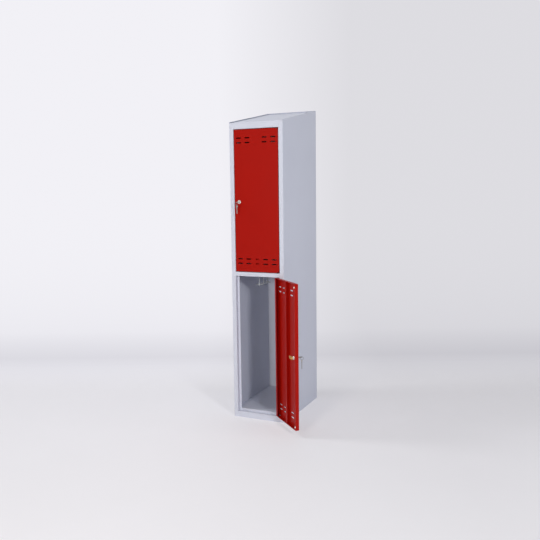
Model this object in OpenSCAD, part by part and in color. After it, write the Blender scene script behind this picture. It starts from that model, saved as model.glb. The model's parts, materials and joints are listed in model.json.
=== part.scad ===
// Steel clothing locker with two compartments, one above the other, and a sloping roof.
// The front faces -Y and +Z is up. The origin is the middle of the footprint, on the ground.
// The lower door stands open and the upper door is shut.

/* [Carcass] */
// Width over the side panels
width = 350; // [320:5:420]
// Depth from the front face to the rear edge
depth = 550; // [480:5:600]
// Height of the front face, at the low edge of the roof
front_height = 1828; // [1700:1:1900]
// Rise of the roof from front to rear
roof_rise = 100; // [60:5:140]
// Thickness of the steel sheet
sheet = 1; // [0.8:0.1:1.4]
// Inside radius of a fold in the sheet
fold_r = 0.8; // [0.5:0.1:1.2]

/* [Front frame] */
// Width of a stile, from the side to the door opening
stile_w = 27; // [24:1:34]
// Height of the rail over the upper door
top_rail_h = 43; // [32:1:48]
// Height of the rail between the doors
middle_rail_h = 25; // [22:1:34]
// Height of the rail under the lower door
bottom_rail_h = 36; // [28:1:50]
// Depth of the recess that a door lies in
recess_d = 26; // [26:0.5:30]
// Reach of the door stop beside the opening
side_stop_w = 12; // [8:0.5:16]
// Height of the door stop under the opening
sill_stop_h = 14; // [10:0.5:18]
// Depth of a rail's turned lip
rail_lip = 12; // [8:1:16]

/* [Panels] */
// Distance of the back panel's front face from the rear edge
back_inset = 20; // [14:1:30]
// Width of a side panel's rear flange
rear_flange_w = 15; // [10:1:20]
// Step from the side panels' top edge down to the roof sheet
roof_step = 5; // [3:0.5:7]
// Width of the rim that turns in over the roof sheet
roof_rim_w = 10; // [6:0.5:14]
// Distance of that rim's front end from the front face
roof_rim_start = 5; // [3:0.5:12]
// Height of the roof sheet's rear flange
roof_flange_h = 18; // [12:1:22]
// Height of the cross rail at the top of the back
rear_rail_h = 25; // [24:1:34]
// Width of the flanges on the shelf and on the ceiling
tray_flange = 12; // [8:1:14]
// Height of the ceiling over the upper door opening
ceiling_rise = 15; // [13:0.5:17]
// Width of the flange that the floor panel stands on
foot_flange = 22; // [16:1:30]

/* [Doors] */
// Gap round a door
door_gap = 3.5; // [2:0.1:4]
// Depth of a door's folded edge
door_t = 22; // [20:0.5:22]
// Width of the lip behind a door's free edge
door_lip = 12; // [8:0.5:14]
// Width of the lip behind a door's hinge edge
hinge_lip = 20; // [12:0.5:24]
// Angle at which the lower door stands open
lower_open = 137; // [0:1:137]
// Width of the stiffener's web
stiffener_w = 22; // [16:1:30]
// Height of the stiffener over the door's sheet
stiffener_h = 16; // [12:0.5:18]
// Width of each of the stiffener's feet
stiffener_foot = 9; // [7:0.5:9]

/* [Vents] */
// Length of a vent slot
slot_l = 32; // [26:1:34]
// Height of a vent slot
slot_h = 7.4; // [5:0.2:9]
// Distance between the columns of slots
slot_pitch_x = 56.5; // [54:0.5:57]
// Distance between the rows of slots
slot_pitch_z = 28; // [24:0.5:32]
// Distance of the outer row of slots from the door's end
slot_margin = 50; // [46:0.5:64]

/* [Hinges] */
// Distance of the hinge axis from the recess wall
hinge_side = 14; // [14:0.5:16]
// Distance of the hinge axis behind the front face
hinge_d = 5; // [5:0.1:5.4]
// Radius of a hinge pin
pin_r = 2.5; // [2:0.1:2.6]
// Running clearance of a pin in its bush
pin_play = 0.05; // [0.03:0.01:0.08]
// Radius of a bush's barrel
bush_r = 3.5; // [3.3:0.1:3.6]
// Radius of a bush's flange
bush_flange_r = 4.6; // [4.3:0.1:4.8]
// Length of a bush's barrel inside the door
bush_l = 4; // [3:0.5:8]
// Length of a pin past its bush
pin_past = 1; // [0.5:0.5:3]
// Thickness of a pin's head
pin_head_h = 2; // [1.5:0.1:3]
// Width of the notch at a door's hinge corners
notch_w = 16; // [14:0.5:20]
// Height of the notch at a door's hinge corners
notch_h = 5; // [3:0.5:8]

/* [Locks] */
// Distance of the lock from the door's free edge
lock_inset = 30; // [28:0.5:34]
// Distance of the lock below the middle of the door opening
lock_drop = 4; // [0:0.5:10]
// Radius of the lock's barrel
barrel_r = 9; // [8.5:0.1:9.5]
// Radius of the lock's bezel
bezel_r = 11; // [10.5:0.1:12]
// Height of the bezel over the door's face
bezel_h = 2; // [1.5:0.1:3]
// Radius of the turning plug
plug_r = 6; // [5.8:0.1:6.5]
// Running clearance of the plug in the barrel
plug_play = 0.05; // [0.03:0.01:0.08]
// Thickness of the fixing nut
nut_h = 5; // [4:0.5:7]
// Width of the fixing nut over its flats
nut_flats = 24; // [22:0.5:26]
// Reach of the cam from the lock's axis
cam_reach = 40; // [36:0.5:44]
// Width of the cam at its tip
cam_w = 18; // [14:0.5:20]
// Radius of the cam round its square hole
cam_hub_r = 10; // [9.2:0.1:11]
// Thickness of the cam
cam_t = 2.5; // [2:0.1:3]
// Side of the plug's square tail
tail_w = 7; // [6:0.1:8]
// Radius of the cam screw's head
cam_screw_r = 5.5; // [5:0.1:6.5]
// Height of the cam screw's head
cam_screw_h = 3; // [2:0.1:4]
// Radius of the cam screw's shank
cam_screw_shank_r = 2; // [1.5:0.1:2.4]

/* [Keys] */
// Radius of a key's bow
bow_r = 11; // [10.5:0.1:12]
// Thickness of a key's bow
bow_t = 2.4; // [2:0.1:2.4]
// Radius of the hole in a key's bow
bow_hole_r = 4; // [4:0.1:4.4]
// Width of the rim between the hole and the bow's end
bow_rim = 2.6; // [2.4:0.1:2.6]
// Length of a key's blade and neck together
blade_l = 34; // [30:0.5:36]
// Width of a key's blade
blade_w = 8; // [7:0.1:8.4]
// Distance of the first cut in a key's blade from its tip
cut_first = 4; // [3:0.1:5]
// Distance between the cuts in a key's blade
cut_pitch = 4.5; // [3:0.1:5]
// Distance of the key's outer end from the door's face
key_out = 35; // [33:0.5:38]
// Middle radius of the key ring
ring_r = 10; // [10:0.1:12]
// Radius of the key ring's wire
wire_r = 0.8; // [0.6:0.05:0.8]
// Turn of the spare key on its ring
spare_turn = 35; // [0:1:35]

/* [Hooks] */
// Number of double hooks in a compartment
hook_count = 3; // [1:1:4]
// Distance of the first hook from the front face
hook_first = 60; // [56:1:120]
// Distance between hooks
hook_pitch = 58; // [50:1:90]
// Distance of the hooks to the left of the locker's middle
hook_aside = 16; // [0:1:40]
// Drop of a hook below its ceiling
hook_drop = 118; // [90:1:130]
// Distance of a hook's tips from its stem
hook_spread = 22; // [20:0.5:34]
// Radius of the hooks' rod
hook_rod_r = 3; // [2.5:0.1:3.5]
// Radius of the ball on a hook's tip
hook_ball_r = 4.5; // [4:0.1:6]
// Length of a hook's base plate
hook_plate_l = 36; // [30:1:46]
// Width of a hook's base plate
hook_plate_w = 20; // [14:1:26]
// Thickness of a hook's base plate
hook_plate_t = 2; // [1.5:0.1:3]
// Radius of a hook rivet's shank
rivet_r = 2; // [1.6:0.1:2.4]
// Radius of a hook rivet's head
rivet_head_r = 3.6; // [3.2:0.1:4.4]
// Height of a hook rivet's head
rivet_head_h = 1; // [0.8:0.1:1.6]
// Distance of a hook rivet from the end of its plate
rivet_end = 5; // [4.8:0.1:7]

/* [Buffers] */
// Radius of a door buffer
buffer_r = 5; // [4:0.1:6]
// Radius of a door buffer's flat top
buffer_top_r = 3.5; // [2.5:0.1:3.9]
// Radius of the stem that holds a buffer in its lip
buffer_stem_r = 2.5; // [2:0.1:3]
// Length of a buffer's stem inside the door
buffer_stem_l = 1.5; // [1:0.1:3]
// Distance of a buffer from the door's end
buffer_end = 20; // [12:0.5:30]
// Gap between a shut door's buffer and the door stop
buffer_gap = 0.5; // [0.3:0.1:1]

/* [Hidden] */
$fn = 48;
fold_steps = 4;
// Small clearance round a fastener's shank and under the roof sheet
hole_play = 0.1;
// Clearance of parts that slide past or turn beside each other
side_play = 0.3;
// Clearance between the key ring's wire and the rim of the spare key's hole
ring_play = 0.5;
// Extra length of a cut past the surface it opens
over = 1;

grey = "#cdd1dc";
red = "#a91c10";
steel = "#c9c9c6";
brass = "#c8a45a";
white = "#f2efe9";
nylon = "#2b2b2d";

rear_height = front_height + roof_rise;
opening_w = width - 2 * stile_w;
opening_h = (front_height - top_rail_h - middle_rail_h - bottom_rail_h) / 2;
// Heights of the two openings' lower edges: 0 is the lower door, 1 is the upper door
function opening_z(level) = bottom_rail_h + level * (opening_h + middle_rail_h);
top_opening_z = opening_z(1) + opening_h;
back_y = depth - back_inset;
stop_back = recess_d + sheet;
shelf_z = opening_z(1) + sill_stop_h - sheet;
floor_z = bottom_rail_h + sill_stop_h - sheet;
ceiling_z = top_opening_z + ceiling_rise;
// Upright thickness of the sloping roof sheet
roof_t = sheet * norm([roof_rise, depth]) / depth;

door_w = opening_w - 2 * door_gap;
door_h = opening_h - 2 * door_gap;
// The hinge axis, from the carcass's front left corner
pivot_x = width - stile_w - hinge_side;
// Door edges from the hinge axis: +X is the hinge edge, -X is the free edge
hinge_edge = hinge_side - door_gap;
free_edge = hinge_edge - door_w;
door_mid = (hinge_edge + free_edge) / 2;

// A pin's head fits inside the fold of its rail
pin_head_r = hinge_d - sheet - fold_r;
barrel_l = stop_back + side_play;
cam_z = barrel_l + side_play;
key_tip = bow_r * 2 + blade_l - key_out;
// The keyway and the cam screw's hole leave a web of this thickness in the plug
plug_web = 1;
screw_tip = key_tip + side_play + plug_web + side_play;
// The key's cuts, from its tip: half the diagonal of each
cut_depths = [0.9, 1.2, 1, 1.3];
tip_bevel = 1;
// The ring hangs over the rim at the key's end, and turns round it
rim_y = key_out - bow_rim / 2;
rim_clear = norm([bow_rim, bow_t]) / 2 + wire_r + side_play / 2;
ring_drop = ring_r - rim_clear;
// How far the middle of the ring's wire lies inside the spare key's hole
wire_depth = wire_r + ring_play;
rivet_at = hook_plate_l / 2 - rivet_end;

// Folded sheet. A path is the outline of one face, and the sheet lies on its right-hand side.
function heading(p, i) = atan2(p[i + 1][1] - p[i][1], p[i + 1][0] - p[i][0]);
function right_of(a) = [sin(a), -cos(a)];
function turn_from(a, b) = let (d = b - a) d > 180 ? d - 360 : d <= -180 ? d + 360 : d;
function fold_points(p, i, off) =
    let (
        a = heading(p, i - 1),
        w = turn_from(a, heading(p, i)),
        r = w < 0 ? fold_r + sheet : -fold_r,
        n0 = right_of(a),
        n1 = right_of(a + w),
        centre = p[i] + r * (n0 + n1) / (1 + n0 * n1)
    )
    [for (k = [0 : fold_steps]) centre - (r - off) * right_of(a + w * k / fold_steps)];
function face_line(p, off) = concat(
    [p[0] + off * right_of(heading(p, 0))],
    [for (i = [1 : len(p) - 2]) each fold_points(p, i, off)],
    [p[len(p) - 1] + off * right_of(heading(p, len(p) - 2))]
);
function reversed(p) = [for (i = [len(p) - 1 : -1 : 0]) p[i]];
module folded(p) polygon(concat(face_line(p, 0), reversed(face_line(p, sheet))));
// All that a folded sheet's outer face goes round
module filled(p) polygon(face_line(p, 0));

// Extrudes an outline of (depth, height) points along X, from x0 to x1
module along_x(x0, x1) translate([x0, 0, 0]) rotate([90, 0, 90]) linear_extrude(x1 - x0) children();

// A block from one corner to the opposite one
module block(a, b) translate(a) cube(b - a);

// Puts the front left corner of the footprint in its place
module placed() translate([-width / 2, -depth / 2, 0]) children();

// The height of the roof line at a depth, less a drop
function roof_z(y, drop) = front_height + roof_rise * y / depth - drop;

// All that lies above the roof line, less a drop, from x0 to x1
module above_roof(drop, x0, x1)
    along_x(x0, x1)
        polygon([
            [-over, roof_z(-over, drop)],
            [depth + over, roof_z(depth + over, drop)],
            [depth + over, rear_height + roof_rise],
            [-over, rear_height + roof_rise],
        ]);

// The rim along the top of a side panel, over the roof sheet
module side_rim() {
    rim_end = depth - roof_rim_w - side_play;
    along_x(0, roof_rim_w) polygon([
        [roof_rim_start, roof_z(roof_rim_start, roof_t)],
        [roof_rim_start, roof_z(roof_rim_start, 0)],
        [rim_end, roof_z(rim_end, 0)],
        [rim_end, roof_z(rim_end, roof_t)],
    ]);
}

// One side panel: wall, stile, recess wall, door stop and roof rim are one folded sheet
module side_panel() {
    side_rim();
    difference() {
        linear_extrude(rear_height) folded([
            [stile_w + side_stop_w, recess_d],
            [stile_w, recess_d],
            [stile_w, 0],
            [0, 0],
            [0, depth],
            [rear_flange_w, depth],
        ]);
        above_roof(0, -over, width);
        above_roof(roof_step + roof_t + hole_play, sheet, width);
        block(
            [sheet, depth - 2 * sheet, rear_height - rear_rail_h - side_play],
            [rear_flange_w + over, depth + over, rear_height + over]
        );
    }
}

module left_side() color(grey) placed() side_panel();

module right_side() color(grey) placed() translate([width, 0, 0]) mirror([1, 0, 0]) side_panel();

module back_panel()
    color(grey) placed() difference() {
        translate([0, 0, floor_z + sheet])
            linear_extrude(rear_height - floor_z - sheet) folded([
                [width - sheet, depth - 2 * sheet - fold_r],
                [width - sheet, back_y],
                [sheet, back_y],
                [sheet, depth - 2 * sheet - fold_r],
            ]);
        above_roof(roof_step + roof_t + hole_play, 0, width);
    }

// Clears the insides of the side panels' folds, beside the door stop and at the rear edge
module clear_of_folds()
    difference() {
        children();
        for (corner = [[stile_w, recess_d - fold_r], [sheet, depth - sheet - fold_r]])
            for (x = [corner[0], width - corner[0] - fold_r])
                block([x, corner[1], -over], [x + fold_r, corner[1] + fold_r, rear_height]);
    }

// The roof sheet, the face of the top rail and the top of the door recess are one folded sheet
module roof_panel()
    color(grey) placed() difference() {
        clear_of_folds() along_x(sheet, width - sheet) folded([
            [recess_d, top_opening_z + rail_lip],
            [recess_d, top_opening_z],
            [0, top_opening_z],
            [0, roof_z(0, roof_step)],
            [depth - sheet, roof_z(depth - sheet, roof_step)],
            [depth - sheet, roof_z(depth - sheet, roof_step + roof_flange_h)],
        ]);
        behind_stile(-over, stile_w);
        behind_stile(width - stile_w, width + over);
        hinge_hole(top_opening_z);
    }

// The room that a stile takes from x0 to x1, up to the underside of the roof sheet
module behind_stile(x0, x1)
    along_x(x0, x1) polygon([
        [-over, top_opening_z - over],
        [-over, roof_z(-over, roof_step + roof_t)],
        [recess_d + over, roof_z(recess_d + over, roof_step + roof_t)],
        [recess_d + over, top_opening_z - over],
    ]);

module rear_top_rail()
    color(grey) placed() along_x(2 * sheet, width - 2 * sheet) folded([
        [depth - roof_rim_w, rear_height],
        [depth, rear_height],
        [depth, rear_height - rear_rail_h],
        [depth - rail_lip, rear_height - rear_rail_h],
    ]);

// A tray between the side panels, with flanges at both sides and at the back, up (1) or down (-1)
module tray(z, flange, dir)
    translate([0, 0, z + sheet / 2]) mirror([0, 0, dir > 0 ? 0 : 1]) translate([0, 0, -sheet / 2])
        difference() {
            block([sheet, stop_back, 0], [width - sheet, back_y, flange]);
            block(
                [2 * sheet, stop_back - over, sheet],
                [width - 2 * sheet, back_y - sheet, flange + over]
            );
        }

module ceiling_panel()
    color(grey) placed() difference() {
        tray(ceiling_z, tray_flange, 1);
        hook_places(ceiling_z) rivet_holes();
    }

module middle_shelf()
    color(grey) placed() difference() {
        tray(shelf_z, tray_flange, -1);
        hook_places(shelf_z) rivet_holes();
    }

// Cuts the ends of a rail's stop and lip, which lie between the side panels' door stops
module between_stops(z)
    difference() {
        children();
        for (x = [stile_w - over, width - stile_w - side_stop_w])
            block(
                [x, recess_d, z - over],
                [x + side_stop_w + over, recess_d + rail_lip + over, z + sill_stop_h + over]
            );
    }

module middle_rail()
    color(grey) placed() difference() {
        between_stops(opening_z(1)) clear_of_folds() along_x(stile_w, width - stile_w) folded([
            [recess_d, opening_z(0) + opening_h + rail_lip],
            [recess_d, opening_z(0) + opening_h],
            [0, opening_z(0) + opening_h],
            [0, opening_z(1)],
            [recess_d, opening_z(1)],
            [recess_d, shelf_z],
            [recess_d + rail_lip, shelf_z],
        ]);
        hinge_hole(opening_z(0) + opening_h);
        hinge_hole(opening_z(1) - sheet);
    }

module bottom_rail()
    color(grey) placed() difference() {
        between_stops(opening_z(0)) clear_of_folds() along_x(stile_w, width - stile_w) folded([
            [recess_d - 2 * sheet, 0],
            [0, 0],
            [0, bottom_rail_h],
            [recess_d, bottom_rail_h],
            [recess_d, floor_z],
            [recess_d + rail_lip, floor_z],
        ]);
        hinge_hole(opening_z(0) - sheet);
    }

// The floor of the lower compartment, with three walls that stand on turned-in flanges
module floor_panel()
    color(grey) placed() difference() {
        clear_of_folds() block([sheet, stop_back, 0], [width - sheet, depth - sheet, floor_z + sheet]);
        block([2 * sheet, stop_back - over, sheet], [width - 2 * sheet, depth - 2 * sheet, floor_z]);
        block(
            [sheet + foot_flange, stop_back - over, -over],
            [width - sheet - foot_flange, depth - sheet - foot_flange, floor_z]
        );
    }

// A hole for a hinge pin in the sheet whose underside is at z
module hinge_hole(z)
    translate([pivot_x, hinge_d, z - over]) cylinder(r = pin_r + pin_play, h = sheet + 2 * over);

// A pin with its head inside a rail: dir is 1 where it points up and -1 where it points down
module hinge_pin(z, dir)
    translate([pivot_x, hinge_d, z]) mirror([0, 0, dir > 0 ? 0 : 1])
        translate([0, 0, -sheet - pin_head_h]) {
            cylinder(r = pin_head_r, h = pin_head_h);
            cylinder(r = pin_r, h = pin_head_h + sheet + door_gap + sheet + bush_l + pin_past);
        }

module hinge_pins(level)
    color(steel) placed() {
        hinge_pin(opening_z(level), 1);
        hinge_pin(opening_z(level) + opening_h, -1);
    }

// Puts what is drawn round the hinge axis on its door. The lower door is drawn open.
module on_door(level)
    placed() translate([pivot_x, hinge_d, opening_z(level)])
        rotate([0, 0, level == 0 ? lower_open : 0]) children();

// Puts a part at both of a door's ends: its +Z points out of the door
module both_ends() {
    translate([0, 0, door_gap + door_h]) children();
    translate([0, 0, door_gap]) mirror([0, 0, 1]) children();
}

module hinge_bushes(level)
    color(nylon) on_door(level) both_ends() difference() {
        union() {
            cylinder(r = bush_flange_r, h = door_gap - side_play);
            translate([0, 0, -sheet - bush_l]) cylinder(r = bush_r, h = sheet + bush_l + over);
        }
        translate([0, 0, -sheet - bush_l - over])
            cylinder(r = pin_r + pin_play, h = sheet + bush_l + door_gap + 2 * over);
    }

// A door's outline in plan: front, upright edges and the lips behind them
door_plan = [
    [hinge_edge - hinge_lip, door_t - hinge_d],
    [hinge_edge, door_t - hinge_d],
    [hinge_edge, -hinge_d],
    [free_edge, -hinge_d],
    [free_edge, door_t - hinge_d],
    [free_edge + door_lip, door_t - hinge_d],
];

// A door's outline from the side: bottom edge, front and top edge
door_side = [
    [door_t - hinge_d, door_gap],
    [-hinge_d, door_gap],
    [-hinge_d, door_gap + door_h],
    [door_t - hinge_d, door_gap + door_h],
];

// A door's sheet, folded round at all four edges, with a seam at each rear corner
module door_sheet()
    intersection() {
        linear_extrude(opening_h) filled(door_plan);
        along_x(free_edge - over, hinge_edge + over) filled(door_side);
        union() {
            translate([0, 0, door_gap + sheet + side_play])
                linear_extrude(door_h - 2 * (sheet + side_play)) folded(door_plan);
            along_x(free_edge, hinge_edge) folded(door_side);
        }
    }

module slot()
    rotate([-90, 0, 0]) translate([0, 0, -hinge_d - over]) linear_extrude(sheet + 2 * over) {
        square([slot_l - slot_h, slot_h], center = true);
        for (x = [-1, 1]) translate([x * (slot_l - slot_h) / 2, 0]) circle(r = slot_h / 2);
    }

// Two rows of slots at each end of a door: the upper group has no middle column
module slots()
    for (row = [0, 1], column = [-2 : 2]) {
        x = door_mid + column * slot_pitch_x;
        inward = slot_margin + row * slot_pitch_z;
        translate([x, 0, door_gap + inward]) slot();
        if (column != 0) translate([x, 0, door_gap + door_h - inward]) slot();
    }

module door_panel(level)
    color(red) on_door(level) difference() {
        door_sheet();
        slots();
        both_ends() {
            translate([0, 0, -sheet - over]) cylinder(r = bush_r + pin_play, h = sheet + 2 * over);
            block([hinge_edge - notch_w, -hinge_d - over, -notch_h],
                [hinge_edge + over, sheet - hinge_d + pin_play, over]);
            buffer_place() translate([0, 0, -sheet - over])
                cylinder(r = buffer_stem_r + pin_play, h = sheet + 2 * over);
        }
        on_lock_axis() translate([0, 0, -over])
            cylinder(r = barrel_r + hole_play, h = sheet + 2 * over);
    }

// A hat-shaped stiffener down the inside of the door, on two feet
module door_stiffener(level)
    color(red) on_door(level) translate([door_mid, sheet - hinge_d, door_gap + sheet + fold_r])
        linear_extrude(door_h - 2 * (sheet + fold_r)) folded([
            [stiffener_w / 2 + stiffener_foot, 0],
            [stiffener_w / 2 - sheet, 0],
            [stiffener_w / 2 - sheet, stiffener_h - sheet],
            [sheet - stiffener_w / 2, stiffener_h - sheet],
            [sheet - stiffener_w / 2, 0],
            [-stiffener_w / 2 - stiffener_foot, 0],
        ]);

// A buffer's place on the free edge's lip, from a door's end: its +Z points to the door stop
module buffer_place()
    translate([free_edge + sheet + buffer_r + side_play, door_t - hinge_d, -buffer_end])
        rotate([-90, 0, 0]) children();

module door_buffers(level)
    color(white) on_door(level) both_ends() buffer_place() {
        cap_h = recess_d - door_t - buffer_gap;
        cylinder(r = buffer_r, h = cap_h / 2);
        translate([0, 0, cap_h / 2]) cylinder(r1 = buffer_r, r2 = buffer_top_r, h = cap_h / 2);
        translate([0, 0, -sheet - buffer_stem_l])
            cylinder(r = buffer_stem_r, h = sheet + buffer_stem_l + cap_h / 2);
    }

// The lock's axis from the hinge axis: its +Z points into the locker and its +Y points down
module on_lock_axis()
    translate([free_edge + lock_inset, -hinge_d, opening_h / 2 - lock_drop])
        rotate([-90, 0, 0]) children();

module lock_barrel(level)
    color(steel) on_door(level) on_lock_axis() difference() {
        union() {
            translate([0, 0, -bezel_h]) cylinder(r1 = bezel_r - bezel_h / 2, r2 = bezel_r, h = bezel_h);
            translate([0, 0, -bezel_h]) cylinder(r = barrel_r, h = barrel_l + bezel_h);
        }
        translate([0, 0, -bezel_h - over])
            cylinder(r = plug_r + plug_play, h = barrel_l + bezel_h + 2 * over);
    }

module lock_nut(level)
    color(brass) on_door(level) on_lock_axis() translate([0, 0, sheet]) difference() {
        cylinder(r = nut_flats / 2 / cos(30), h = nut_h, $fn = 6);
        translate([0, 0, -over]) cylinder(r = barrel_r + plug_play, h = nut_h + 2 * over);
    }

module lock_plug(level)
    color(steel) on_door(level) on_lock_axis() difference() {
        union() {
            translate([0, 0, -bezel_h]) cylinder(r = plug_r, h = barrel_l + bezel_h + hole_play);
            translate([-tail_w / 2, -tail_w / 2, barrel_l])
                cube([tail_w, tail_w, side_play + cam_t]);
        }
        keyway = [blade_w + 2 * hole_play, bow_t + 2 * hole_play];
        translate([-keyway[0] / 2, -keyway[1] / 2, -bezel_h - over])
            cube([keyway[0], keyway[1], bezel_h + key_tip + over + side_play]);
        translate([0, 0, screw_tip - side_play])
            cylinder(r = cam_screw_shank_r + hole_play, h = cam_z + cam_t - screw_tip + over);
    }

module lock_cam(level)
    color(brass) on_door(level) on_lock_axis() translate([0, 0, cam_z]) linear_extrude(cam_t)
        difference() {
            union() {
                circle(r = cam_hub_r);
                translate([0, -cam_w / 2]) square([cam_reach - cam_w / 2, cam_w]);
                translate([cam_reach - cam_w / 2, 0]) circle(r = cam_w / 2);
            }
            square(tail_w + 2 * hole_play, center = true);
        }

module cam_screw(level)
    color(brass) on_door(level) on_lock_axis() {
        translate([0, 0, cam_z + cam_t]) cylinder(r = cam_screw_r, h = cam_screw_h, $fn = 6);
        translate([0, 0, screw_tip])
            cylinder(r = cam_screw_shank_r, h = cam_z + cam_t + cam_screw_h / 2 - screw_tip);
    }

// A key in outline: its tip is at the origin and it points along +Y to its bow
module key_outline()
    difference() {
        union() {
            translate([-blade_w / 2, tip_bevel]) square([blade_w, blade_l + bow_r - tip_bevel]);
            polygon([
                [-blade_w / 2, tip_bevel],
                [tip_bevel - blade_w / 2, 0],
                [blade_w / 2 - tip_bevel, 0],
                [blade_w / 2, tip_bevel],
            ]);
            translate([0, blade_l + bow_r]) circle(r = bow_r);
        }
        translate([0, blade_l + 2 * bow_r - bow_rim - bow_hole_r]) circle(r = bow_hole_r);
        for (i = [0 : len(cut_depths) - 1])
            translate([blade_w / 2, cut_first + i * cut_pitch])
                rotate(45) square(cut_depths[i] * sqrt(2), center = true);
    }

module key(level)
    color(steel) on_door(level) on_lock_axis() translate([0, 0, key_tip]) rotate([-90, 0, 0])
        translate([0, 0, -bow_t / 2]) linear_extrude(bow_t) key_outline();

// The rim that the key ring hangs on: +Y points down from there
module on_rim() on_lock_axis() translate([0, 0, -rim_y]) children();

module key_ring(level)
    color(steel) on_door(level) on_rim() translate([0, ring_drop, 0]) rotate([0, 90, 0])
        rotate_extrude() translate([ring_r, 0]) circle(r = wire_r);

module spare_key(level)
    color(steel) on_door(level) on_rim()
        translate([0, ring_drop + ring_r - wire_depth - bow_rim + blade_l + 2 * bow_r, 0])
        rotate([0, spare_turn, 0]) mirror([0, 1, 0])
        translate([0, 0, -bow_t / 2]) linear_extrude(bow_t) key_outline();

// The places of a compartment's hooks, under a ceiling whose underside is at z
module hook_places(z)
    for (i = [0 : hook_count - 1])
        translate([width / 2 - hook_aside, hook_first + i * hook_pitch, z]) children();

// Holes for a hook's rivets, through its plate and the ceiling
module rivet_holes()
    for (y = [-rivet_at, rivet_at])
        translate([0, y, -hook_plate_t - over])
            cylinder(r = rivet_r + hole_play, h = hook_plate_t + sheet + 2 * over);

// A double hook under its ceiling: a plate, a stem and two arms that curve up to a ball
module double_hook() {
    bend_z = hook_drop - hook_rod_r - hook_spread / 2;
    difference() {
        translate([-hook_plate_w / 2, -hook_plate_l / 2, -hook_plate_t])
            cube([hook_plate_w, hook_plate_l, hook_plate_t]);
        rivet_holes();
    }
    translate([0, 0, -bend_z]) cylinder(r = hook_rod_r, h = bend_z - hook_plate_t / 2);
    for (side = [-1, 1])
        translate([side * hook_spread / 2, 0, -bend_z]) {
            rotate([-90, 0, 0]) rotate_extrude(angle = 180)
                translate([hook_spread / 2, 0]) circle(r = hook_rod_r);
            translate([side * hook_spread / 2, 0, 0]) {
                cylinder(r = hook_rod_r, h = hook_ball_r);
                translate([0, 0, hook_ball_r]) sphere(r = hook_ball_r);
            }
        }
}

module hook_rivet_pair()
    for (y = [-rivet_at, rivet_at]) translate([0, y, -hook_plate_t]) {
        cylinder(r = rivet_r, h = hook_plate_t + sheet);
        translate([0, 0, -rivet_head_h])
            cylinder(r1 = rivet_head_r - rivet_head_h, r2 = rivet_head_r, h = rivet_head_h);
    }

module upper_hooks() color(steel) placed() hook_places(ceiling_z) double_hook();
module lower_hooks() color(steel) placed() hook_places(shelf_z) double_hook();
module upper_hook_rivets() color(steel) placed() hook_places(ceiling_z) hook_rivet_pair();
module lower_hook_rivets() color(steel) placed() hook_places(shelf_z) hook_rivet_pair();

left_side();
right_side();
back_panel();
roof_panel();
rear_top_rail();
ceiling_panel();
middle_shelf();
middle_rail();
floor_panel();
bottom_rail();
upper_hooks();
upper_hook_rivets();
lower_hooks();
lower_hook_rivets();
hinge_pins(1);  // upper_hinge_pins
hinge_bushes(1);  // upper_hinge_bushes
door_panel(1);  // upper_door
door_stiffener(1);  // upper_door_stiffener
door_buffers(1);  // upper_door_buffers
lock_barrel(1);  // upper_lock_barrel
lock_nut(1);  // upper_lock_nut
lock_plug(1);  // upper_lock_plug
lock_cam(1);  // upper_lock_cam
cam_screw(1);  // upper_cam_screw
key(1);  // upper_key
key_ring(1);  // upper_key_ring
spare_key(1);  // upper_spare_key
hinge_pins(0);  // lower_hinge_pins
hinge_bushes(0);  // lower_hinge_bushes
door_panel(0);  // lower_door
door_stiffener(0);  // lower_door_stiffener
door_buffers(0);  // lower_door_buffers
lock_barrel(0);  // lower_lock_barrel
lock_nut(0);  // lower_lock_nut
lock_plug(0);  // lower_lock_plug
lock_cam(0);  // lower_lock_cam
cam_screw(0);  // lower_cam_screw
key(0);  // lower_key
key_ring(0);  // lower_key_ring
spare_key(0);  // lower_spare_key
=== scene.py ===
# %% [markdown]
# # A steel clothing locker
#
# The locker is a box of folded steel sheet with a powder coat: a pale grey carcass with two
# compartments, one above the other, and two red doors. The construction comes from a CAD model,
# which this script loads and never changes. What is left for Blender is what the eye judges
# first: the finish of each surface, the small metal pieces, and the light.

# %% Load the CAD model and note its size
import json
import math

import bpy
from mathutils import Matrix, Vector


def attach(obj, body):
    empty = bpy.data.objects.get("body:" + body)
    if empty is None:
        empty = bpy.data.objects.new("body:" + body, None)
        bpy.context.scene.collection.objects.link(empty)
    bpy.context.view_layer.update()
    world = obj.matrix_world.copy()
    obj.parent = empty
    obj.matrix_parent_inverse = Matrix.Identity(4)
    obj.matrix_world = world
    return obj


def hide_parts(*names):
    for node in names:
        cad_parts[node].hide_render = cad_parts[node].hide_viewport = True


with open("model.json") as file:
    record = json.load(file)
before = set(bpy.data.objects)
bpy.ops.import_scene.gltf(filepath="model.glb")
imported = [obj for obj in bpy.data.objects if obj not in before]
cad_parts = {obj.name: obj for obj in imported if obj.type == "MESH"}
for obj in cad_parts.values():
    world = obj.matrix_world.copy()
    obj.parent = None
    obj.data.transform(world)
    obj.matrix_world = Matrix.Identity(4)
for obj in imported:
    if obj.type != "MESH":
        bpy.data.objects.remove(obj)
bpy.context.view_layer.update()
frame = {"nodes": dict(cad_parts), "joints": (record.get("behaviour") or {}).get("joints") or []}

nodes = frame["nodes"]

# %% [markdown]
# ## The camera
#
# The photograph was taken from the right of the locker's front and from above its middle. The
# edges of the locker in the picture fix the camera's place, its turn, and how long its lens is.
# A camera is set here by three unit vectors: right, up and back. The picture leans by less than
# a degree, and turning right and up by that angle gives the lean.

# %% Place the camera
PHOTO_WIDTH = 540
FOCAL_PIXELS = 668
SHIFT_PIXELS = (0.55, 0.35)
SENSOR_WIDTH = 36
CAMERA_AT = Vector((1.751, -3.901, 1.427))
CAMERA_TURN, CAMERA_TILT, CAMERA_LEAN = (math.radians(a) for a in (24.73, 6.95, -0.72))


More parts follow.
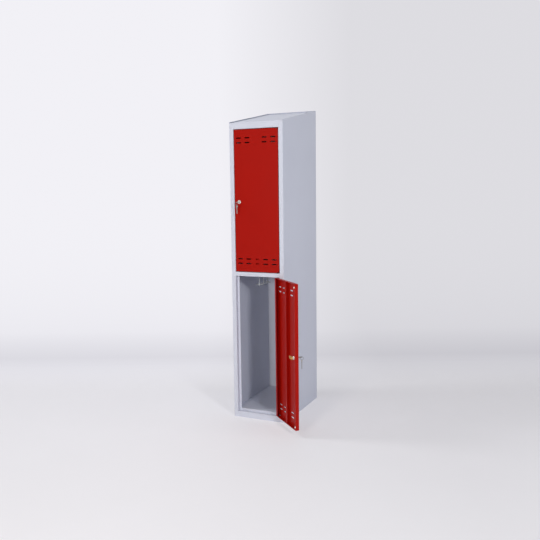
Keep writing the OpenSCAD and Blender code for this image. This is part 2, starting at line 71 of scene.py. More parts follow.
def direction(turn, tilt):
    """The unit vector from the locker towards a place: turn is to the right, tilt is up."""
    along_floor = math.cos(tilt)
    return Vector((math.sin(turn) * along_floor, -math.cos(turn) * along_floor, math.sin(tilt)))


back = direction(CAMERA_TURN, CAMERA_TILT)
right = Vector((math.cos(CAMERA_TURN), math.sin(CAMERA_TURN), 0))
up = back.cross(right)
lean = Matrix.Rotation(CAMERA_LEAN, 3, "Z")
axes = Matrix((right, up, back)).transposed() @ lean

camera_data = bpy.data.cameras.new("photo_camera")
camera_data.sensor_width = SENSOR_WIDTH
camera_data.lens = FOCAL_PIXELS / PHOTO_WIDTH * SENSOR_WIDTH
camera_data.shift_x, camera_data.shift_y = (pixels / PHOTO_WIDTH for pixels in SHIFT_PIXELS)
camera = bpy.data.objects.new("photo_camera", camera_data)
bpy.context.scene.collection.objects.link(camera)
camera.matrix_world = Matrix.Translation(CAMERA_AT) @ axes.to_4x4()
bpy.context.scene.camera = camera
print("lens:", round(camera_data.lens, 2), "mm")

# %% [markdown]
# ## Nodes for materials
#
# Every finish below is a Principled shader with a few textures in front of it. A few helpers keep
# that short. The first turns a colour from the way designers write it to the linear values that
# Cycles wants, and the second adds a node with its settings and links in a single call.

# %% Helpers for colours and nodes
def linear(hex_colour):
    """An sRGB colour such as "#aa1c0c" as linear red, green, blue and alpha."""
    parts = [int(hex_colour[i : i + 2], 16) / 255 for i in (1, 3, 5)]
    return [p / 12.92 if p <= 0.04045 else ((p + 0.055) / 1.055) ** 2.4 for p in parts] + [1]


def add(material, kind, inputs=None, **settings):
    """Adds a node; inputs maps a socket to a value, or to the output that feeds it."""
    node = material.node_tree.nodes.new(kind)
    for name, value in settings.items():
        setattr(node, name, value)
    for socket, value in (inputs or {}).items():
        if isinstance(value, bpy.types.NodeSocket):
            material.node_tree.links.new(value, node.inputs[socket])
        else:
            node.inputs[socket].default_value = value
    return node


def new_material(name):
    """An empty material with a Principled shader, which is returned with it."""
    material = bpy.data.materials.new(name)
    material.use_nodes = True
    return material, material.node_tree.nodes["Principled BSDF"]


def feed(material, output, shader, socket):
    """Links an output to one of the sockets of a shader, or of the material's last node."""
    material.node_tree.links.new(output, shader.inputs[socket])


def cover(material, *names):
    """Gives a material to CAD nodes, in place of the plain ones that they were loaded with."""
    for name in names:
        nodes[name].data.materials.clear()
        nodes[name].data.materials.append(material)


# %% [markdown]
# ## Powder coat
#
# Both the carcass and the doors are powder coated: dry polyester powder is blown onto the steel,
# clings by its charge and is baked, so it flows into one smooth skin. It leaves a fine dimpled
# texture like the peel of an orange, with dimples 2 to 3 mm across. Under it the thin sheet isn't
# quite flat, and broad shallow waves show in the reflections. Both are bumps here, because they
# only show in the light. The colour itself is even, and a very slow noise keeps it from looking
# printed.

# %% Make the two powder coats
MM = 0.001
PEEL, PEEL_HEIGHT = 2.5 * MM, 0.03 * MM
SHEET_WAVE, WAVE_HEIGHT = 180 * MM, 1.2 * MM


def powder_coat(name, colour, worn_colour, roughness, specular):
    """Baked polyester powder on folded steel sheet."""
    coat, shader = new_material(name)
    place = add(coat, "ShaderNodeTexCoord").outputs["Object"]
    slow = add(coat, "ShaderNodeTexNoise", {
        "Vector": place, "Scale": 3.5, "Detail": 3, "Roughness": 0.55,
    })
    tint = add(coat, "ShaderNodeMix", {
        "Factor": slow.outputs["Fac"], "A": linear(colour), "B": linear(worn_colour),
    }, data_type="RGBA")
    feed(coat, tint.outputs[2], shader, "Base Color")
    gloss = add(coat, "ShaderNodeMapRange", {
        "Value": slow.outputs["Fac"], "From Min": 0.3, "From Max": 0.7,
        "To Min": roughness - 0.03, "To Max": roughness + 0.04,
    })
    feed(coat, gloss.outputs["Result"], shader, "Roughness")
    wave = add(coat, "ShaderNodeTexNoise", {"Vector": place, "Scale": 1 / SHEET_WAVE, "Detail": 1})
    peel = add(coat, "ShaderNodeTexNoise", {"Vector": place, "Scale": 1 / PEEL, "Detail": 2})
    waves = add(coat, "ShaderNodeBump", {
        "Height": wave.outputs["Fac"], "Distance": WAVE_HEIGHT, "Strength": 0.6,
    })
    peels = add(coat, "ShaderNodeBump", {
        "Height": peel.outputs["Fac"], "Distance": PEEL_HEIGHT, "Strength": 0.5,
        "Normal": waves.outputs["Normal"],
    })
    feed(coat, peels.outputs["Normal"], shader, "Normal")
    shader.inputs["Specular IOR Level"].default_value = specular
    return coat


carcass_coat = powder_coat("grey_powder_coat", "#ccd0de", "#c6cad9", 0.42, 0.4)
door_coat = powder_coat("red_powder_coat", "#a20c00", "#9a0a00", 0.38, 0.13)
cover(carcass_coat, "left_side", "right_side", "back_panel", "roof_panel", "rear_top_rail",
      "ceiling_panel", "middle_shelf", "middle_rail", "floor_panel", "bottom_rail")
for level in ("upper", "lower"):
    cover(door_coat, f"{level}_door", f"{level}_door_stiffener")

# %% [markdown]
# ## Bright metals and mouldings
#
# The small pieces are bought-in parts. Lock bezels and keys are nickel plated, which is a warm,
# bright silver, but the keys get a greyer, duller copy of it, which is painted shade for keys that
# stand in shade. Cams and nuts are plain brass. Hooks and hinge pins are zinc plated steel, a dull
# cool grey that is made darker still as painted shade for the hooks in the dim compartment. Drawn
# wire and rivets have a fine grain instead of a polish.

# %% Make the metals
def bright_metal(name, colour, dull_colour, roughness, grain):
    """A metal whose polish changes a little with a grain of the given size."""
    metal, shader = new_material(name)
    place = add(metal, "ShaderNodeTexCoord").outputs["Object"]
    spots = add(metal, "ShaderNodeTexNoise", {"Vector": place, "Scale": 1 / grain, "Detail": 4})
    tint = add(metal, "ShaderNodeMix", {
        "Factor": spots.outputs["Fac"], "A": linear(colour), "B": linear(dull_colour),
    }, data_type="RGBA")
    feed(metal, tint.outputs[2], shader, "Base Color")
    polish = add(metal, "ShaderNodeMapRange", {
        "Value": spots.outputs["Fac"], "From Min": 0.35, "From Max": 0.65,
        "To Min": roughness * 0.8, "To Max": roughness * 1.25,
    })
    feed(metal, polish.outputs["Result"], shader, "Roughness")
    bump = add(metal, "ShaderNodeBump", {
        "Height": spots.outputs["Fac"], "Distance": 0.02 * MM, "Strength": 0.4,
    })
    feed(metal, bump.outputs["Normal"], shader, "Normal")
    shader.inputs["Metallic"].default_value = 1
    return metal


nickel = bright_metal("nickel_plate", "#e6e2dc", "#d6d1c9", 0.18, 3 * MM)
# The keys' copy of the plating is greyer and darker than the bezels': painted shade.
shaded_key_nickel = bright_metal("nickel_plate_darkened_as_shade", "#a8a29c", "#8f8983", 0.3, 3 * MM)
# The zinc is darker than plain zinc plate: painted shade for the hooks in the dim compartment.
zinc = bright_metal("zinc_plate_darkened_as_shade", "#9fa2a6", "#8b8e93", 0.45, 5 * MM)
brass = bright_metal("machined_brass", "#e0b25e", "#c9964a", 0.26, 2 * MM)
wire = bright_metal("drawn_steel_wire", "#a3a3a2", "#8b8b8a", 0.3, 1.5 * MM)
rivet_metal = bright_metal("aluminium_rivet", "#dcdde0", "#cbccd0", 0.35, 1.5 * MM)

# %% [markdown]
# The hinge bushes and the door buffers are moulded. Plastic takes on the fine matt skin of its
# mould, and a little of the light goes in and comes out again, which softens it.

# %% Make the mouldings
MOULD_GRAIN = 0.6 * MM


def moulding(name, colour, roughness):
    """A moulded plastic or rubber piece with the fine matt skin of its mould."""
    plastic, shader = new_material(name)
    place = add(plastic, "ShaderNodeTexCoord").outputs["Object"]
    skin = add(plastic, "ShaderNodeTexNoise", {
        "Vector": place, "Scale": 1 / MOULD_GRAIN, "Detail": 2,
    })
    bump = add(plastic, "ShaderNodeBump", {
        "Height": skin.outputs["Fac"], "Distance": 0.02 * MM, "Strength": 0.5,
    })
    feed(plastic, bump.outputs["Normal"], shader, "Normal")
    shader.inputs["Base Color"].default_value = linear(colour)
    shader.inputs["Roughness"].default_value = roughness
    shader.inputs["Subsurface Weight"].default_value = 0.1
    shader.inputs["Subsurface Radius"].default_value = (2 * MM, 2 * MM, 2 * MM)
    return plastic


nylon = moulding("moulded_nylon", "#262628", 0.4)
soft_white = moulding("soft_white_moulding", "#f0eeea", 0.5)

for level in ("upper", "lower"):
    cover(nickel, *(f"{level}_{part}" for part in ("lock_barrel", "lock_plug")))
    # The keys get the darker copy of the plating, which is painted shade.
    cover(shaded_key_nickel, *(f"{level}_{part}" for part in ("key", "spare_key")))
    cover(brass, *(f"{level}_{part}" for part in ("lock_nut", "lock_cam", "cam_screw")))
    cover(zinc, f"{level}_hooks", f"{level}_hinge_pins")
    cover(wire, f"{level}_key_ring")
    cover(rivet_metal, f"{level}_hook_rivets")
    cover(nylon, f"{level}_hinge_bushes")
    cover(soft_white, f"{level}_door_buffers")

# %% [markdown]
# ## Floor and backdrop
#
# The locker stands in a photographer's studio, on a pale floor that curves up into a backdrop, so
# that no line shows where they meet. The floor is a plane, turned to face the camera. Its far
# edge is extruded upwards, and a bevel with many segments makes the curve.

# %% Make the floor and backdrop
FLOOR_SIZE = 14
BACKDROP_AT = 3.6
BACKDROP_HEIGHT = 5
CURVE_RADIUS, CURVE_SEGMENTS = 1.2, 24


def deselect_all():
    if bpy.context.object and bpy.context.object.mode == "EDIT":
        bpy.ops.object.mode_set(mode="OBJECT")
    bpy.ops.object.select_all(action="DESELECT")


def select_where(mesh, test):
    """Selects the points of a mesh that pass a test, and the edges and faces between them."""
    chosen = [bool(test(point.co)) for point in mesh.vertices]
    for point, pick in zip(mesh.vertices, chosen):
        point.select = pick
    for part in [*mesh.edges, *mesh.polygons]:
        part.select = all(chosen[v] for v in part.vertices)


def edit(select_mode, operator, **settings):
    """Runs one edit-mode operator on what is selected of the active object."""
    modes = ("VERT", "EDGE", "FACE")
    bpy.context.tool_settings.mesh_select_mode = [mode == select_mode for mode in modes]
    bpy.ops.object.mode_set(mode="EDIT")
    operator(**settings)
    bpy.ops.object.mode_set(mode="OBJECT")


deselect_all()
bpy.ops.mesh.primitive_plane_add(size=FLOOR_SIZE)
sweep = bpy.context.object
sweep.name = "studio_sweep"
select_where(sweep.data, lambda point: point.y > 0)
edit("EDGE", bpy.ops.transform.translate, value=(0, BACKDROP_AT - FLOOR_SIZE / 2, 0))
edit("EDGE", bpy.ops.mesh.extrude_region_move,
     TRANSFORM_OT_translate={"value": (0, 0, BACKDROP_HEIGHT)})
select_where(sweep.data, lambda point: point.y > 0 and point.z < 0.01)
edit("EDGE", bpy.ops.mesh.bevel, offset=CURVE_RADIUS, segments=CURVE_SEGMENTS, profile=0.5)
bpy.ops.object.shade_smooth()
sweep.rotation_euler.z = CAMERA_TURN
print("sweep:", len(sweep.data.polygons), "faces")

# %% [markdown]
# A white backdrop takes a lot of light, and that light would wash out the object. So the backdrop's
# brightness is painted light: rays that come from the camera, a reflection or a glass see a glow
# there, and all other rays see plain paper. At the locker and in front of it, more than half of
# what the camera sees is paper too, because the floor has to show the shadow there. The glow
# carries
# painted shade as well: it is a little darker on the right, away from the main lamp, and in a band
# just where a wall would meet the floor, as the shade in such a corner.

# %% Make the paper and its glow
def seen_directly(material):
    """1 for rays from the camera, a reflection or a glass, and 0 for those that carry light on."""
    rays = add(material, "ShaderNodeLightPath").outputs
    mirrored = add(material, "ShaderNodeMath", {
        0: rays["Is Glossy Ray"], 1: rays["Is Transmission Ray"],
    }, operation="MAXIMUM")
    seen = add(material, "ShaderNodeMath", {
        0: rays["Is Camera Ray"], 1: mirrored.outputs["Value"],
    }, operation="MAXIMUM")
    return seen.outputs["Value"]


paper, paper_shader = new_material("studio_paper")
place = add(paper, "ShaderNodeTexCoord").outputs["Object"]
scuffs = add(paper, "ShaderNodeTexNoise", {
    "Vector": place, "Scale": 2.2, "Detail": 6, "Roughness": 0.6,
})
shade = add(paper, "ShaderNodeMix", {
    "Factor": scuffs.outputs["Fac"], "A": linear("#f8f7fb"), "B": linear("#f2f1f5"),
}, data_type="RGBA")
feed(paper, shade.outputs[2], paper_shader, "Base Color")
paper_shader.inputs["Roughness"].default_value = 0.55
paper_shader.inputs["Specular IOR Level"].default_value = 0.2

axes_apart = add(paper, "ShaderNodeSeparateXYZ", {"Vector": place}).outputs
behind = add(paper, "ShaderNodeMapRange", {
    "Value": axes_apart["Y"], "From Min": 0.0, "From Max": 4.0,
})
# A darker band in the glow's tone is painted shade, where a wall would meet the floor.
glow_tone_with_painted_band = add(paper, "ShaderNodeValToRGB", {"Fac": behind.outputs["Result"]})
tones = glow_tone_with_painted_band.color_ramp.elements
tones[0].position, tones[0].color = 0.12, linear("#edecf2")
tones[1].position, tones[1].color = 1.0, linear("#f4f3f8")
for position, tone in ((0.34, "#dcdbe2"), (0.6, "#ebeaf0")):
    tones.new(position).color = linear(tone)
# The glow dims towards the right, away from the main lamp: painted shade.
painted_falloff_right = add(paper, "ShaderNodeMapRange", {
    "Value": axes_apart["X"], "From Min": -0.6, "From Max": 0.9, "To Min": 1.0, "To Max": 0.82,
})
glow = add(paper, "ShaderNodeEmission", {
    "Color": glow_tone_with_painted_band.outputs["Color"], "Strength": painted_falloff_right.outputs["Result"],
})
far_away = add(paper, "ShaderNodeMapRange", {
    "Value": axes_apart["Y"], "From Min": 0.3, "From Max": 1.1, "To Min": 0.45,
}, interpolation_type="SMOOTHSTEP")
glow_share = add(paper, "ShaderNodeMath", {
    0: far_away.outputs["Result"], 1: seen_directly(paper),
}, operation="MULTIPLY")
surface = add(paper, "ShaderNodeMixShader", {
    "Fac": glow_share.outputs["Value"],
    1: paper_shader.outputs["BSDF"], 2: glow.outputs["Emission"],
})
feed(paper, surface.outputs["Shader"], paper.node_tree.nodes["Material Output"], "Surface")
sweep.data.materials.append(paper)

# %% [markdown]
# ## Light
#
# The shadow on the floor runs to the right and a little back, so one lamp stands far to the left
# and high. Inside the open compartment, the front of the left wall is lit and its rear is not, so
# a second lamp stands to the right, where the door's edge hides it from the rear. The back wall is
# lit up to its top, so a third lamp stands in front and low, and its light is a little warm.
# A weak lamp at the right side keeps the side panel even, and a weak one overhead lights the roof
# and the floor. The white room does the rest.

# %% Place the lamps
LAMP_AIM = Vector((0, 0, 1))


def softbox(name, turn, tilt, distance, size, power, colour="#ffffff"):
    """A square area lamp that looks at the middle of the locker."""
    lamp_data = bpy.data.lights.new(name, "AREA")
    lamp_data.size = size
    lamp_data.energy = power
    lamp_data.color = linear(colour)[:3]
    lamp = bpy.data.objects.new(name, lamp_data)
    bpy.context.scene.collection.objects.link(lamp)
    towards = direction(math.radians(turn), math.radians(tilt))
    lamp.location = LAMP_AIM + towards * distance
    lamp.rotation_euler = towards.to_track_quat("Z", "Y").to_euler()


softbox("left_softbox", turn=-67, tilt=35, distance=4.0, size=0.9, power=50)
softbox("right_softbox", turn=48, tilt=16, distance=5.5, size=0.5, power=100)
softbox("front_softbox", turn=4, tilt=8, distance=5.0, size=0.8, power=84, colour="#fff9ee")
softbox("side_softbox", turn=95, tilt=10, distance=4.0, size=0.9, power=20)
softbox("top_softbox", turn=0, tilt=84, distance=3.5, size=1.2, power=24)

# %% [markdown]
# The room is one even colour. As with the paper, its light on the object is weak, and what the
# camera and the reflections see of it is nearly white.

# %% Make the room
room = bpy.data.worlds.new("white_room")
bpy.context.scene.world = room
room.use_nodes = True
room_light = room.node_tree.nodes["Background"]
room_light.inputs["Color"].default_value = linear("#f2f3f8")
room_light.inputs["Strength"].default_value = 0.12
room_look = add(room, "ShaderNodeBackground", {"Color": linear("#eeeef3"), "Strength": 1.0})
room_mix = add(room, "ShaderNodeMixShader", {
    "Fac": seen_directly(room),
    1: room_light.outputs["Background"], 2: room_look.outputs["Background"],
})
feed(room, room_mix.outputs["Shader"], room.node_tree.nodes["World Output"], "Surface")

bpy.context.scene.view_settings.view_transform = "Standard"

# %% [markdown]
# ## Modelling by hand, in code
#
# The small pieces are modelled with the operators that a person would use in the window: add a
# primitive, go into edit mode, select by place, then extrude, inset, spin or bevel. A few helpers
# keep each step short. Their sizes are in millimetres, as on a workshop drawing, and they turn
# them to metres. Every piece is drawn round the origin and put in its place at the end.

# %% Helpers that add and select
def active():
    """The piece that was added last."""
    return bpy.context.view_layer.objects.active


def cylinder(radius, height, at=(0, 0, 0), sides=48, radius_top=None, turn=0.0):
    """An upright cylinder or cone with its middle at a point; turn is in degrees round its axis."""
    radius_top = radius if radius_top is None else radius_top
    deselect_all()
    bpy.ops.mesh.primitive_cone_add(vertices=sides, radius1=radius * MM, radius2=radius_top * MM,
                                    depth=height * MM, location=[v * MM for v in at],
                                    rotation=(0, 0, math.radians(turn)))
    bpy.ops.object.transform_apply(location=True, rotation=True, scale=True)
    return active()


def block(low, high):
    """A block between two corners."""
    deselect_all()
    bpy.ops.mesh.primitive_cube_add(size=1, location=[(a + b) / 2 * MM for a, b in zip(low, high)],
                                    scale=[(b - a) * MM for a, b in zip(low, high)])
    bpy.ops.object.transform_apply(location=True, rotation=True, scale=True)
    return active()


def select_lines(test):
    """Selects the edges of which the two ends, in millimetres, pass a test together."""
    mesh = active().data
    select_where(mesh, lambda point: False)
    for line in mesh.edges:
        line.select = test(*(mesh.vertices[v].co / MM for v in line.vertices))


def select_sides(test):
    """Selects the faces of which the normal passes a test."""
    mesh = active().data
    select_where(mesh, lambda point: False)
    for side in mesh.polygons:
        side.select = test(side.normal)


# %% [markdown]
# What a milling cutter, a drill or a weld does to the real piece is a boolean here, and a lathe is
# a profile that is spun. Then the sharp edges are rounded a little, because real edges catch light.

# %% Helpers that cut, join and finish
SMOOTH_BELOW = math.radians(35)


def apply_modifier(piece, kind, **settings):
    """Adds a modifier with its settings and applies it at once."""
    modifier = piece.modifiers.new(kind.lower(), kind)
    for name, value in settings.items():
        setattr(modifier, name, value)
    deselect_all()
    piece.select_set(True)
    bpy.context.view_layer.objects.active = piece
    bpy.ops.object.modifier_apply(modifier=modifier.name)


def combine(piece, tool, how):
    """UNION, DIFFERENCE or INTERSECT of a piece with a tool. The tool is used up."""
    apply_modifier(piece, "BOOLEAN", object=tool, operation=how, solver="EXACT")
    bpy.data.objects.remove(tool, do_unlink=True)


def round_edges(piece, width):
    """Rounds the sharp edges a little, as tumbling and plating do, and smooths the shading."""
    apply_modifier(piece, "BEVEL", width=width * MM, segments=2, limit_method="ANGLE",
                   angle_limit=math.radians(40))
    bpy.ops.object.shade_smooth_by_angle(angle=SMOOTH_BELOW)


def close_ends():
    """In edit mode, closes a tube's open ends with a face each and turns its faces outwards."""
    bpy.ops.mesh.select_mode(type="EDGE")
    bpy.ops.mesh.select_all(action="DESELECT")
    bpy.ops.mesh.select_non_manifold()
    bpy.ops.mesh.edge_face_add()
    bpy.ops.mesh.select_all(action="SELECT")
    bpy.ops.mesh.normals_make_consistent(inside=False)
    bpy.ops.object.mode_set(mode="OBJECT")


def lathe(profile, steps=48):
    """A turned piece: a line through (radius, height) points, extruded point by point and spun."""
    deselect_all()
    bpy.ops.mesh.primitive_plane_add(size=MM)
    points = [Vector((radius, 0, height)) * MM for radius, height in profile]
    bpy.ops.object.mode_set(mode="EDIT")
    bpy.ops.mesh.select_mode(type="VERT")
    bpy.ops.mesh.select_all(action="SELECT")
    bpy.ops.mesh.merge(type="CENTER")
    bpy.ops.transform.translate(value=points[0])
    for here, there in zip(points, points[1:]):
        bpy.ops.mesh.extrude_region_move(TRANSFORM_OT_translate={"value": there - here})
    bpy.ops.mesh.select_all(action="SELECT")
    bpy.ops.mesh.spin(steps=steps, angle=2 * math.pi, center=(0, 0, 0), axis=(0, 0, 1))
    bpy.ops.mesh.select_all(action="SELECT")
    bpy.ops.mesh.remove_doubles(threshold=0.001 * MM)
    bpy.ops.mesh.normals_make_consistent(inside=False)
    bpy.ops.object.mode_set(mode="OBJECT")
    bpy.ops.object.shade_smooth_by_angle(angle=SMOOTH_BELOW)
    return active()


# %% [markdown]
# A piece that is there more than once is modelled once and copied. Each finished piece stands for
# one node of the CAD model, and moves with the body that the node belongs to.

# %% Helpers that copy and place
def copies(piece, name, places):
    """Puts a copy of a piece at each place, joins the copies and leaves them in one object."""
    deselect_all()
    for place in places:
        copy = piece.copy()
        copy.data = piece.data.copy()
        bpy.context.scene.collection.objects.link(copy)
        copy.data.transform(place)
        copy.select_set(True)
        bpy.context.view_layer.objects.active = copy
    if len(places) > 1:
        bpy.ops.object.join()
    joined = active()
    joined.name = joined.data.name = name
    return joined


def dress(piece, body, node, material):
    """Makes a piece stand for a CAD node: gives it its material, puts it on its body and hides the
    node.
    """
    piece.data.materials.clear()
    piece.data.materials.append(material)
    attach(piece, body)
    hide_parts(node)
    print(f"{piece.name}: {len(piece.data.polygons)} faces, on {body}")


def shift(x, y, z):
    """The matrix that moves a piece by so many millimetres."""
    return Matrix.Translation(Vector((x, y, z)) * MM)


def rotate(degrees, axis):
    """The matrix that turns a piece round an axis through the origin."""
    return Matrix.Rotation(math.radians(degrees), 4, axis)


def remove(*pieces):
    """Takes away the pieces that the copies were made from."""
    for piece in pieces:
        bpy.data.objects.remove(piece, do_unlink=True)


# %% [markdown]
# ## Where the doors and locks are
#
# The pieces on a door are drawn as if the hinge axis were the origin and the door were shut. One
# matrix for each door then puts them in place: the upper door is shut and the lower one stands
# open by 137 degrees. The CAD model's joints say where the hinge and the lock are.

# %% The places of the doors and locks
OPENING_BOTTOM = {"upper": 923, "lower": 36}
OPEN_ANGLE = {"upper": 0, "lower": 137}
DOOR_HEIGHT, DOOR_GAP = 855, 3.5

joints = {joint["name"]: joint for joint in frame["joints"]}
door_place, lock_place = {}, {}
for level in ("upper", "lower"):
    hinge_x, hinge_y, _ = joints[f"{level}_door_hinge"]["pos_m"]
    hinge = Matrix.Translation((hinge_x, hinge_y, OPENING_BOTTOM[level] * MM))
    door_place[level] = hinge @ rotate(OPEN_ANGLE[level], "Z")
    # In a lock's own axes Z points into the locker, and Y points down
    lock_at = Matrix.Translation(joints[f"{level}_lock_turn"]["pos_m"])
    lock_place[level] = lock_at @ rotate(OPEN_ANGLE[level], "Z") @ rotate(-90, "X")
    print(level, "lock at", [round(v, 3) for v in lock_place[level].translation])

# %% [markdown]
# ## Keys
#
# Each lock has two keys on one ring. A key is stamped from nickel-plated brass strip: a round bow
# with a pressed rim and a hole for the ring, and a blade with a groove milled along each face and
# a row of cuts. So the bow starts as a disc whose faces are inset and pushed in. The blade is a
# block, joined to it. Everything that a tool removes from the real key is a cut here as well.

# %% Model a key
BOW_RADIUS, KEY_THICKNESS, BLADE_LENGTH, BLADE_WIDTH = 11, 2.4, 34, 8
KEY_LENGTH = BLADE_LENGTH + 2 * BOW_RADIUS
# Height of a drill that goes all the way through the key
THROUGH = 6
HOLE_RADIUS, RIM = 4, 2.6
BOW_BORDER, PRESSED_DEPTH = 1.5, 0.4
TIP_CHAMFER, BLADE_IN_BOW = 0.9, 3
# Corners across the blade of the grooves that are milled along its two faces
GROOVES = [((-2.2, 0.6), (-0.9, 2)), ((0.6, -2), (1.9, -0.6))]
GROOVE_LENGTH = 30
# Distance from the tip and depth of each cut
CUTS = [(4, 0.9), (8.5, 1.2), (13, 1.0), (17.5, 1.3)]

key = cylinder(BOW_RADIUS, KEY_THICKNESS, (0, BLADE_LENGTH + BOW_RADIUS, 0), sides=64)
for side in (1, -1):
    select_sides(lambda normal: normal.z * side > 0.9)
    edit("FACE", bpy.ops.mesh.inset, thickness=BOW_BORDER * MM)
    edit("FACE", bpy.ops.transform.translate, value=(0, 0, -PRESSED_DEPTH * MM * side))
blade = block((-BLADE_WIDTH / 2, 0, -KEY_THICKNESS / 2),
              (BLADE_WIDTH / 2, BLADE_LENGTH + BLADE_IN_BOW, KEY_THICKNESS / 2))
select_lines(lambda one, other: max(one.y, other.y) < 0.1 and one.x == other.x)
edit("EDGE", bpy.ops.mesh.bevel, offset=TIP_CHAMFER * MM, segments=1)
combine(key, blade, "UNION")
combine(key, cylinder(HOLE_RADIUS, THROUGH, (0, KEY_LENGTH - RIM - HOLE_RADIUS, 0)), "DIFFERENCE")
for (near_x, near_z), (far_x, far_z) in GROOVES:
    combine(key, block((near_x, -1, near_z), (far_x, GROOVE_LENGTH, far_z)), "DIFFERENCE")
for y, depth in CUTS:
    combine(key, cylinder(depth, THROUGH, (BLADE_WIDTH / 2, y, 0), sides=4), "DIFFERENCE")
round_edges(key, width=0.2)
print("key:", len(key.data.polygons), "faces")

# %% [markdown]
# The key in the lock points straight out of the door. The spare key hangs from the ring with its
# blade down, turned a little, as loose keys do. The same mesh serves for all four.

# %% Put a key in each lock and a spare on each ring
KEY_OUT = 35
RIM_AT = KEY_OUT - RIM / 2
# How far below the lock's axis the ring's middle and the spare key's tip hang
RING_RADIUS, RING_DROP, SPARE_TIP = 10, 7.281, 69.38
SPARE_TURN = 35

for level in ("upper", "lower"):
    in_lock = lock_place[level] @ shift(0, 0, KEY_LENGTH - KEY_OUT) @ rotate(-90, "X")
    dress(copies(key, f"{level}_cut_key", [in_lock]), f"{level}_lock", f"{level}_key",
          shaded_key_nickel)
    tip = lock_place[level] @ shift(0, SPARE_TIP, -RIM_AT)
    on_ring = tip @ rotate(SPARE_TURN, "Y") @ rotate(180, "X")
    dress(copies(key, f"{level}_cut_spare_key", [on_ring]), f"{level}_key_ring",
          f"{level}_spare_key", shaded_key_nickel)
remove(key)

# %% [markdown]
# ## Split rings
#
# A key ring is two turns of flattened spring wire that lie on each other, with a short step where
# one turn climbs over the other. A rounded rectangle is spun almost all the way round, then it
# climbs in small steps, and then it is spun again. The two ends are closed with a face each.

# %% Model a split ring
WIRE_HEIGHT, WIRE_WIDTH, WIRE_ROUNDING = 0.78, 1.5, 0.25
CLIMB_ANGLE, CLIMB_STEPS = 24, 6
TURN_STEPS = 56
GAP_BETWEEN_TURNS = 0.02

section_at = (RING_RADIUS * MM, 0, -WIRE_HEIGHT / 2 * MM)
round_z = {"center": (0, 0, 0), "axis": (0, 0, 1)}
climb = (WIRE_HEIGHT + GAP_BETWEEN_TURNS) / CLIMB_STEPS * MM

deselect_all()
bpy.ops.mesh.primitive_plane_add(size=MM, location=section_at, rotation=(math.pi / 2, 0, 0))
bpy.ops.object.transform_apply(location=True, rotation=True, scale=True)
ring = active()
bpy.ops.object.mode_set(mode="EDIT")
bpy.ops.mesh.select_all(action="SELECT")
bpy.ops.transform.resize(value=(WIRE_WIDTH, 1, WIRE_HEIGHT), center_override=section_at)
bpy.ops.mesh.bevel(affect="VERTICES", offset=WIRE_ROUNDING * MM, segments=3)
bpy.ops.mesh.spin(steps=TURN_STEPS, angle=math.radians(360 - CLIMB_ANGLE), **round_z)
for _ in range(CLIMB_STEPS):
    bpy.ops.mesh.spin(steps=1, angle=math.radians(CLIMB_ANGLE / CLIMB_STEPS), **round_z)
    bpy.ops.transform.translate(value=(0, 0, climb))
bpy.ops.mesh.spin(steps=TURN_STEPS, angle=math.radians(360 - CLIMB_ANGLE), **round_z)
close_ends()
bpy.ops.object.shade_smooth_by_angle(angle=SMOOTH_BELOW)

for level in ("upper", "lower"):
    hanging = lock_place[level] @ shift(0, RING_DROP, -RIM_AT) @ rotate(90, "Y")
    dress(copies(ring, f"{level}_split_ring", [hanging]), f"{level}_key_ring", f"{level}_key_ring",
          wire)
remove(ring)

# %% [markdown]
# ## Lock barrels, nuts, cams and screws
#
# A cam lock is a zinc barrel, turned and threaded, with a bezel that rests on the door's face. A
# lathe makes the real one, so a profile is spun round here: the bezel's rounded rim, the thread
# as a row of small grooves, and the bore for the plug. A thread's slope doesn't show at this
# size, so the grooves are plain rings, which keeps the mesh light.

# %% Model the lock barrel
BARREL_RADIUS, BARREL_LENGTH, BORE_RADIUS, BEZEL_RADIUS = 9, 27.3, 6.05, 11
THREAD_PITCH, THREAD_DEPTH = 1.25, 0.55
THREAD_FROM, PLAIN_END = 1.2, 2

profile = [(BORE_RADIUS, -1.7), (6.4, -2), (9.3, -2), (10.1, -1.85), (10.7, -1.4),
           (BEZEL_RADIUS, -0.7), (BEZEL_RADIUS, 0),
           (BARREL_RADIUS, 0), (BARREL_RADIUS, THREAD_FROM)]
height = THREAD_FROM
while height < BARREL_LENGTH - PLAIN_END:
    profile += [(BARREL_RADIUS - THREAD_DEPTH, height + THREAD_PITCH / 2),
                (BARREL_RADIUS, height + THREAD_PITCH)]
    height += THREAD_PITCH
profile += [(BARREL_RADIUS - 0.4, BARREL_LENGTH), (BORE_RADIUS, BARREL_LENGTH),
            (BORE_RADIUS, -1.7)]
barrel = lathe(profile)
for level in ("upper", "lower"):
    dress(copies(barrel, f"{level}_threaded_barrel", [lock_place[level]]), f"{level}_door",
          f"{level}_lock_barrel", nickel)
remove(barrel)

# %% [markdown]
# The nut and the screw's head are hexagons cut from bar. The nut's corners are turned off at both
# faces, the screw's at the outer one. So each hexagon is trimmed by a turned disc with sloping
# rims, and then bored or slotted. The cam is a stamped brass lever with a square hole, so its
# outline is made of a disc, a bar and a rounded end, and its edges are only a little rounded.

# %% Model the nut, the cam and the screw
SHEET, NUT_FLATS, NUT_HEIGHT, THREAD_PLAY = 1, 24, 5, 0.05
CAM_NEAR, CAM_THICKNESS, CAM_REACH, CAM_WIDTH, CAM_HUB = 27.6, 2.5, 40, 18, 10
# Width of the plug's square tail, and how far the punch for its hole reaches
TAIL, PUNCH_NEAR, PUNCH_FAR = 7.2, 20, 40
SCREW_HEAD, SCREW_HEIGHT, SCREW_SHANK, SCREW_TIP = 5.5, 3, 2, 22.6
SLOT_LENGTH, SLOT_WIDTH, SLOT_DEPTH = 14, 1, 1.2
# Radius of the round face of a hexagon whose corners are turned off, and height of the slope
NUT_FACE, NUT_SLOPE = 12.3, 0.9
SCREW_FACE, SCREW_SLOPE = 4.6, 0.6
# How much wider the turned disc is than the hexagon that it trims
MARGIN = 0.1

